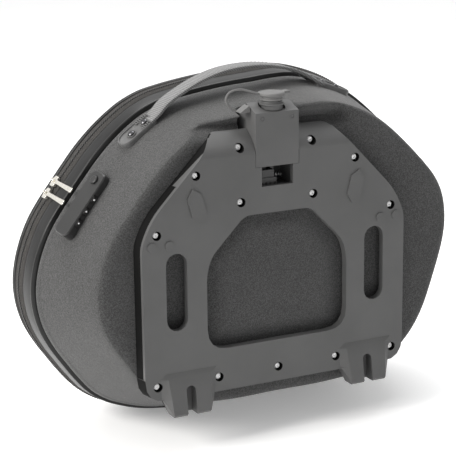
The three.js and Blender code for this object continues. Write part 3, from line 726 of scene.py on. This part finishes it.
# ---------------------------------------------------------------- bands, zip and gusset
def hoop(name, profile, *materials, stations=None):
    """A closed profile of (y, grow) swept round the rim, or along some of its stations."""
    whole = stations is None
    stations = range(RIM_STEPS) if whole else stations
    bm = bmesh.new()
    rows = [[place(*drawn(i, y, grow)) for y, grow in profile] for i in stations]
    made = grid(bm, rows, True, whole)
    if not whole:
        bm.faces.new(made[0])
        bm.faces.new(list(reversed(made[-1])))
    return from_bmesh(name, bm, *materials, sharp=50)


def bead(y, grow, radius, start, end, steps=6):
    """An arc of a profile, for piping and ribs; angles in degrees from towards the lid."""
    angles = [math.radians(start + (end - start) * k / steps) for k in range(steps + 1)]
    return [(y + radius * math.cos(a), grow + radius * math.sin(a)) for a in angles]


def ribbed(y0, grow0, y1, grow1, ribs, height):
    """Fine parallel ribs between two ends of a profile."""
    points = []
    steps = ribs * 4
    for k in range(steps + 1):
        share = k / steps
        lift = height * (0.5 - 0.5 * math.cos(2 * math.pi * share * ribs))
        points.append((y0 + (y1 - y0) * share, grow0 + (grow1 - grow0) * share + lift))
    return points


inner_band = hoop("inner_rim_vinyl",
                  [(103.7, -2.5), (103.7, 0.6)] + bead(105.6, 2.3, 1.7, 200, 20)
                  + [(107.6, 2.7), (109, 3.2), (115, 4.5), (121, 5.5), (123.6, 5.9), (124.4, 5.4),
                     (124.4, -2.5)], VINYL)
stands_for(inner_band, "inner_rim_band")
outer_band = hoop("outer_rim_vinyl",
                  [(141.5, 1.2), (141.5, 6.8), (142.4, 7.2)] + bead(144.6, 7.1, 1.5, 180, 0)
                  + [(146.8, 7.4), (149.6, 7.4), (149.6, 1.2)], VINYL)
stands_for(outer_band, "outer_rim_band")

left_end = nearest_station(-GUSSET_HALF - 0.6, 10)
right_end = nearest_station(GUSSET_HALF + 0.6, 10)
over_top = [i % RIM_STEPS for i in range(left_end, right_end + RIM_STEPS * (right_end < left_end) + 1)]
under = [i % RIM_STEPS for i in range(right_end, left_end + RIM_STEPS * (left_end < right_end) + 1)]

TAPE_TOP = 8.0
inner_tape = hoop("inner_zip_tape_ribbed",
                  [(124.9, 2.2)] + ribbed(124.9, 5.7, 130.6, 7.4, 4, 0.55) + [(132.3, 7.4), (132.3, 2.2)],
                  TAPE, stations=over_top)
stands_for(inner_tape, "inner_zip_tape")
outer_tape = hoop("outer_zip_tape_ribbed",
                  [(132.9, 2.2), (132.9, 7.4)] + ribbed(134.6, 7.4, 141.0, 7.6, 4, 0.55) + [(141.0, 2.2)],
                  TAPE, stations=over_top)
stands_for(outer_tape, "outer_zip_tape")


def zip_teeth(name, side):
    """One side's teeth: small rounded bars across the parting line, one every pitch."""
    bm = bmesh.new()
    pitch = 3
    stations = over_top[6:-6]
    for n, i in enumerate(stations):
        for half in (0, 1):
            k = n * 2 + half
            if k % 2 != (side > 0):
                continue
            a = drawn(i, 0, 0)
            b = drawn(i + 1, 0, 0)
            spot = a.lerp(b, half * 0.5)
            out = RIM_OUT[i]
            reach = [(-0.4, 0.0), (0.9, 0.35), (2.2, 0.0)]
            points = [place(spot.x + out.x * (TAPE_TOP - 0.1 + lift), ZIP_Y + side * step,
                            spot.z + out.y * (TAPE_TOP - 0.1 + lift)) for step, lift in reach]
            tube(bm, points, 0.62 * MM, 6, up=Vector((out.x, 0, out.y)))
    return from_bmesh(name, bm, SATIN)


for teeth_name, teeth_side, teeth_body in (("zip_teeth_inner", -1, "bag"), ("zip_teeth_outer", 1, "lid")):
    teeth = zip_teeth(teeth_name, teeth_side)
    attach(teeth, teeth_body)

gusset_profile = [(124.9, 4.6)] + ribbed(124.9, 5.9, 141.0, 7.9, 5, 0.7) + [(141.0, 4.6)]
gusset = hoop("hinge_gusset_fabric", gusset_profile, FABRIC, stations=under)
stands_for(gusset, "hinge_gusset", body=False)
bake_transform(gusset)


STAY_HALF, STAY_THICK = 9, 0.7
STAY_LEAN = 0.75                      # how far the slack folds towards the middle, per unit of drop
STAY_FOLD = [(98, 0), (104, -14), (112, -44), (121, -66), (128, -72), (135, -66), (143, -44), (151, -14),
             (157, 0)]


def stay(name, source, side):
    """A strip of webbing from wall to lid, folded down inside while the bag is shut."""
    low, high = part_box(source)
    x = (low.x + high.x) / 2
    height = (low.z + high.z) / 2
    line = resampled([Vector((x, ORIGIN.y + y * MM, height + drop * MM)) for y, drop in STAY_FOLD], 40, False)
    line = [p - Vector((side * (4 * MM + STAY_LEAN * (height - p.z)), 0, 0)) for p in line]
    bm = bmesh.new()
    rows = []
    for i, p in enumerate(line):
        along = (line[min(i + 1, len(line) - 1)] - line[max(i - 1, 0)]).normalized()
        face = along.cross(Vector((1, 0, 0))).normalized()
        rows.append([p + Vector((sx * STAY_HALF * MM, 0, 0)) + face * sy * STAY_THICK * MM for sx, sy in
                     ((-1, -1), (0, -1.15), (1, -1), (1, 1), (0, 1.15), (-1, 1))])
    made = grid(bm, rows, True)
    bm.faces.new(made[0])
    bm.faces.new(list(reversed(made[-1])))
    piece = from_bmesh(name, bm, WEBBING)
    stands_for(piece, source, body=False)
    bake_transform(piece)


stay("lid_stay_left_webbing", "lid_stay_left", -1)
stay("lid_stay_right_webbing", "lid_stay_right", 1)


# ---------------------------------------------------------------- carrier plate and tower
plate = refined("mounting_plate_moulded", "mounting_plate", 0.35, PLASTIC, seam=flush_seam)
# Painted shade: the plate's sides and the insides of its screw holes get the dark material.
paint_flank_shade(plate, SEAL_AND_PAINTED_SHADE)
refined("tower_housing_moulded", "tower_housing", 0.6, PLASTIC, seam=flush_seam)
refined("backing_plate_moulded", "backing_plate", 0.5, DARK_PLASTIC)
refined("tether_anchor_moulded", "tether_anchor", 0.7, RUBBER)
refined("latch_moulded", "latch", 0.4, LATCH)

KEY_Y = 12.5


def turned(name, source, material, profile, extra=None):
    """A round part about the key's upright axis."""
    bm = bmesh.new()
    at = Matrix.Translation(place(0, KEY_Y, 0))
    lathe(bm, profile, at, 40)
    if extra:
        extra(bm, at)
    piece = from_bmesh(name, bm, material)
    return stands_for(piece, source)


turned("lock_collar_moulded", "lock_collar", PLASTIC,
       [(7.2, 342.7), (10.9, 342.7), (11.2, 343.1), (11.2, 347.2), (12.2, 347.4), (12.6, 347.8),
        (12.6, 349.2), (12.2, 349.6), (11.2, 349.8), (11.0, 351.2), (10.6, 351.5), (7.6, 351.5),
        (7.2, 351.1), (7.2, 342.7)])


def cap_tab(bm, at):
    tab = at.copy()
    tab.translation = at.translation + Vector((15.3, 0, 359.4)) * MM
    rounded_block(bm, tab, (8.4, 9, 2.4), 0.8)
    rib = at.copy()
    rib.translation = at.translation + Vector((17.6, 0, 360.5)) * MM
    rounded_block(bm, rib, (1.2, 7, 1.0), 0.3)


turned("key_cap_moulded", "key_cap", RUBBER,
       [(0, 351.9), (10.6, 351.9), (11.2, 352.4), (11.2, 354.2), (10.7, 354.6), (10.7, 355.4), (11.3, 355.9),
        (11.3, 356.9), (13.2, 357.1), (13.8, 357.8), (13.8, 359.6), (13.2, 360.3), (12.2, 360.6),
        (11.4, 360.1), (10.6, 360.0), (5, 360.5), (0, 360.7)], extra=cap_tab)

TETHER = [(-14.4, 13, 359.2), (-22, 13.5, 361.8), (-34, 15, 365), (-45, 16, 363), (-49.5, 16.5, 356),
          (-46, 16.5, 348.5), (-38.4, 16.3, 343.2)]
TETHER_RADIUS = 1.15 * MM
tether_line = resampled([place(*p) for p in TETHER], 44, False)
tether_bm = bmesh.new()
tube(tether_bm, tether_line, TETHER_RADIUS, 12)
tether = from_bmesh("cap_tether_rubber", tether_bm, RUBBER)
stands_for(tether, "cap_tether", body=False)
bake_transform(tether)


def screw(source):
    """A pan-head screw with a star recess, at the CAD screw's place."""
    low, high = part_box(source)
    middle = Vector(((low.x + high.x) / 2, low.y, (low.z + high.z) / 2))
    outward = axes(Vector((1, 0, 0)), Vector((0, 0, 1)), Vector((0, -1, 0)), middle)
    bm = bmesh.new()
    radius, length = (high.x - low.x) / MM / 2, (high.y - low.y) / MM
    rows = []
    for r, z, star in ((1.0, -1.5, 0.2), (1.1, -0.3, 0.22), (1.25, -0.1, 0.2), (2.1, -0.12, 0),
                       (2.8, -0.5, 0), (radius - 0.1, -1.2, 0), (radius, -1.6, 0), (radius, -2.4, 0),
                       (1.9, -2.4, 0), (1.9, 0.5 - length, 0), (1.2, -length, 0)):
        spread = [r * MM * (1 + star * math.cos(6 * a)) for a in around(24)]
        rows.append([outward @ Vector((math.cos(a) * size, math.sin(a) * size, z * MM))
                     for a, size in zip(around(24), spread)])
    made = grid(bm, rows, True)
    bm.faces.new(made[0])
    bm.faces.new(list(reversed(made[-1])))
    # The head's near-white colour is partly painted highlight.
    stands_for(from_bmesh(source + "_star", bm, ZINC_AND_HIGHLIGHT), source)


for screw_node in sorted(n for n in NODES if n.startswith("plate_screw")):
    screw(screw_node)


# ---------------------------------------------------------------- carry handle
HANDLE_Y = 82
STRAP_WIDTH, STRAP_THICK = 24, 3.4
STRAP_ROOTS = (-97.5, 337.4), (84, 356.8)
STRAP_PATH = [(-107, 329.6), (-102, 333.5), (-97.5, 337.4), (-87, 347.5), (-70, 357.5), (-50, 367),
              (-25, 374.5), (2, 377.5),
              (28, 376.5), (53, 371.5), (71, 364.5), (84, 356.8), (89, 353.9), (95, 350.8)]


def strap():
    """The leather strap: crowned, with a pressed edge and a row of stitches along each side."""
    path = resampled([Vector((x, z)) for x, z in STRAP_PATH], 150, False)
    bm = bmesh.new()
    w, t = STRAP_WIDTH / 2, STRAP_THICK / 2
    half_top = [(w, t - 0.8), (w - 0.7, t - 0.1), (w - 2.2, t - 0.1), (w - 2.7, t - 0.45), (w - 3.2, t),
                (w * 0.5, t + 0.25)]
    section = [(-w, -t + 0.6), (-w + 0.6, -t), (0, -t), (w - 0.6, -t), (w, -t + 0.6), *half_top,
               (0, t + 0.35), *((-s, h) for s, h in reversed(half_top))]
    rows = []
    frames = []
    for i, p in enumerate(path):
        along = (path[min(i + 1, len(path) - 1)] - path[max(i - 1, 0)]).normalized()
        up = Vector((-along.y, along.x))
        frames.append((p, along, up))
        rows.append([place(p.x + up.x * h, HANDLE_Y + s, p.y + up.y * h) for s, h in section])
    made = grid(bm, rows, True)
    bm.faces.new(made[0])
    bm.faces.new(list(reversed(made[-1])))
    for side in (-1, 1):
        for n in range(2, len(frames) - 3, 3):
            (p, _, up), (q, _, _) = frames[n], frames[n + 2]
            y = HANDLE_Y + side * (w - 2.7)
            stitch = ((0, t - 0.5), (0.3, t + 0.05), (0.7, t + 0.05), (1, t - 0.5))
            ends = [place(r.x + up.x * h, y, r.y + up.y * h)
                    for r, h in ((p.lerp(q, share), h) for share, h in stitch)]
            tube(bm, ends, 0.36 * MM, 6, material=1)
    piece = from_bmesh("handle_leather_strap", bm, STAMPED, THREAD, sharp=40)
    stands_for(piece, "handle_strap", "handle_root_left", "handle_root_right", body=False)
    start, end = (Vector(root) for root in STRAP_ROOTS)
    along = (end - start).normalized()
    up = Vector((-along.y, along.x))
    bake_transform(piece)


strap()
END_LENGTH, END_HALF, END_HEIGHT = 47, 10.5, 4.2
END_RIBS = 7


def pill(length, half, tip, round_corner=2.0, steps=10):
    """Outline of an end piece: square where the strap comes in and round at its tip."""
    nose = length / 2 - half
    back = length / 2 - 3
    points = [Vector((-back + round_corner * a, -half + round_corner * b))
              for a, b in ((0, 1), (0.3, 0.3), (1, 0))]
    points += [Vector((nose + half * math.cos(a), half * math.sin(a)))
               for a in (math.pi * (k / steps - 0.5) for k in range(steps + 1))]
    points += [Vector((p.x, -p.y)) for p in reversed(points[:3])]
    return [Vector((p.x * tip, p.y)) for p in points]


def handle_end(side, tip):
    """One of the strap's two end pieces: a pressed border, a ring round each rivet, and cross ribs."""
    first, second = (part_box(f"handle_rivet_{side}_{k}") for k in (1, 2))
    spots = [(sum(b, Vector()) / 2) for b in (first, second)]
    low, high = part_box(f"handle_end_{side}")
    centre = (low + high) / 2
    station = nearest_station(*[((centre - ORIGIN) / MM)[k] for k in (0, 2)])
    at = wall_matrix(station, HANDLE_Y)
    inverse = at.inverted()
    shift = sum(((inverse @ s).x for s in spots)) / 2 + tip * 2 * MM
    bm = bmesh.new()
    rows = []
    for inset, height in ((0.2, -3.0), (0, 2.4), (0.3, END_HEIGHT - 0.2), (0.9, END_HEIGHT + 0.6),
                          (1.6, END_HEIGHT + 0.5), (2.1, END_HEIGHT - 0.8), (2.7, END_HEIGHT - 1.0)):
        outline = pill(END_LENGTH - 2 * inset, END_HALF - inset, tip)
        rows.append([at @ Vector((p.x * MM + shift, p.y * MM, height * MM)) for p in outline])
    made = grid(bm, rows, True)
    bm.faces.new(list(reversed(made[0])))
    fan(bm, made[-1], at @ Vector((shift, 0, (END_HEIGHT - 0.7) * MM)))
    for spot in spots:
        local = inverse @ spot
        ring = at.copy()
        ring.translation = at @ Vector((local.x, local.y, 0))
        lathe(bm, [(5.4, END_HEIGHT - 0.5), (5.0, END_HEIGHT + 0.35), (4.4, END_HEIGHT + 0.3),
                   (3.9, END_HEIGHT - 0.3), (3.5, END_HEIGHT - 0.5)], ring, 24)
    for k in range(END_RIBS):
        x = -tip * (4.5 + k * 2.5)
        for y in (-1, 1):
            bar = at @ Matrix.Translation(Vector((x * MM + shift, y * 6.4 * MM, END_HEIGHT * MM)))
            rounded_block(bm, bar, (1.2, 4.4, 1.5), 0.35)
    piece = from_bmesh(f"handle_end_{side}_moulded", bm, LEATHER, sharp=45)
    stands_for(piece, f"handle_end_{side}")


handle_end("left", -1)
handle_end("right", 1)

# ---------------------------------------------------------------- combination lock, sliders and small metal
refined("combination_lock_case", "combination_lock", 0.7, SATIN, segments=3)
refined("lock_button_satin", "lock_button", 0.4, SATIN)
MARK_RADIUS = 6.2


def dial_mark(k):
    """The light dot on a dial's edge, facing the plate's side."""
    axis = Vector(joint(f"dial_{k}_turn")["axis"])
    outward = axis.cross(axis.cross(Vector((0, 1, 0)))).normalized()
    outward *= 1 if outward.y < 0 else -1
    bm = bmesh.new()
    turn = outward.to_track_quat("Z", "Y").to_matrix().to_4x4()
    turn.translation = sum(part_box(f"lock_dial_{k}"), Vector()) / 2 + outward * MARK_RADIUS * MM
    lathe(bm, [(0, -0.3), (0.95, 0), (0.9, 0.35), (0.6, 0.5), (0, 0.55)], turn, 16)
    mark = from_bmesh(f"lock_dial_{k}_mark", bm, MARK)
    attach(mark, f"dial_{k}")


for k in (1, 2, 3):
    refined(f"lock_dial_{k}_satin", f"lock_dial_{k}", 0.25, SATIN)
    dial_mark(k)

for name in ("upper", "lower"):
    refined(f"slider_{name}_nickel", f"slider_{name}", 0.35, NICKEL)
    refined(f"pull_{name}_nickel", f"pull_{name}", 0.25, NICKEL)


def finished(node_name, material):
    """A CAD node whose shape and mesh stay, with a made material on its object's own slots."""
    for slot in NODES[node_name].material_slots:
        slot.link = "OBJECT"
        slot.material = material


for node_name in ("key_cylinder", "lock_cam", "latch_spring"):
    finished(node_name, STEEL)
for node_name in ("tower_screw_left", "tower_screw_right"):
    finished(node_name, BLACKENED)
for node_name in ("plate_gasket_left", "plate_gasket_right"):
    finished(node_name, SEAL_AND_PAINTED_SHADE)
for node_name in sorted(n for n in NODES if n.startswith("handle_rivet")):
    finished(node_name, RIVET)


# ---------------------------------------------------------------- floor, light and camera
def stage():
    s = Surface("floor", 0.6, Emission_Color=(1, 1, 1, 1), Emission_Strength=0.26)
    s.colour(s.mixed(s.grain(200, 2), grey(0.9), grey(0.93)))
    bm = bmesh.new()
    reach = 6.0
    rows = [[Vector((x, y, 0)) for x in (-reach, 0, reach)] for y in (-reach, 0, reach)]
    grid(bm, rows, False)
    floor = from_bmesh("floor", bm, s.material)


def softbox(name, at, target, size, power, colour=(1, 1, 1)):
    light = bpy.data.lights.new(name, "AREA")
    light.shape = "RECTANGLE"
    light.size, light.size_y = size
    light.energy = power
    light.color = colour
    lamp = bpy.data.objects.new(name, light)
    bpy.context.scene.collection.objects.link(lamp)
    lamp.location = at
    lamp.rotation_mode = "QUATERNION"
    lamp.rotation_quaternion = (Vector(target) - Vector(at)).to_track_quat("-Z", "Y")


def studio():
    """A white world, brighter behind and dimmer in front, and softboxes from the left and above."""
    world = bpy.data.worlds.new("studio")
    world.use_nodes = True
    tree = world.node_tree
    coords = node(tree, "ShaderNodeTexCoord")
    split = node(tree, "ShaderNodeSeparateXYZ")
    strength = node(tree, "ShaderNodeMapRange")
    for socket, value in (("From Min", -0.2), ("From Max", 0.6), ("To Min", 0.5), ("To Max", 1.0)):
        strength.inputs[socket].default_value = value
    background = tree.nodes["Background"]
    background.inputs["Color"].default_value = (1, 1, 1, 1)
    tree.links.new(coords.outputs["Generated"], split.inputs["Vector"])
    tree.links.new(split.outputs["Y"], strength.inputs["Value"])
    tree.links.new(strength.outputs["Result"], background.inputs["Strength"])
    bpy.context.scene.world = world
    aim = (0, 0, 0.18)
    softbox("key", (-2.2, -0.1, 1.5), aim, (1.2, 1.2), 62, (1, 0.98, 0.95))
    softbox("top", (0.2, 0.4, 2.2), aim, (1.8, 1.4), 40)
    bpy.context.scene.view_settings.view_transform = "Standard"


def camera():
    data = bpy.data.cameras.new("camera")
    data.sensor_width = 36
    data.lens = 126.3
    made = bpy.data.objects.new("camera", data)
    bpy.context.scene.collection.objects.link(made)
    made.location = place(-747.4, -1402.8, 630.4)
    target = place(-57.1, 0, 228.0)
    roll = Quaternion((0, 0, 1), math.radians(-0.76))
    made.rotation_mode = "QUATERNION"
    made.rotation_quaternion = (target - made.location).to_track_quat("-Z", "Y") @ roll
    bpy.context.scene.camera = made


stage()
studio()
camera()
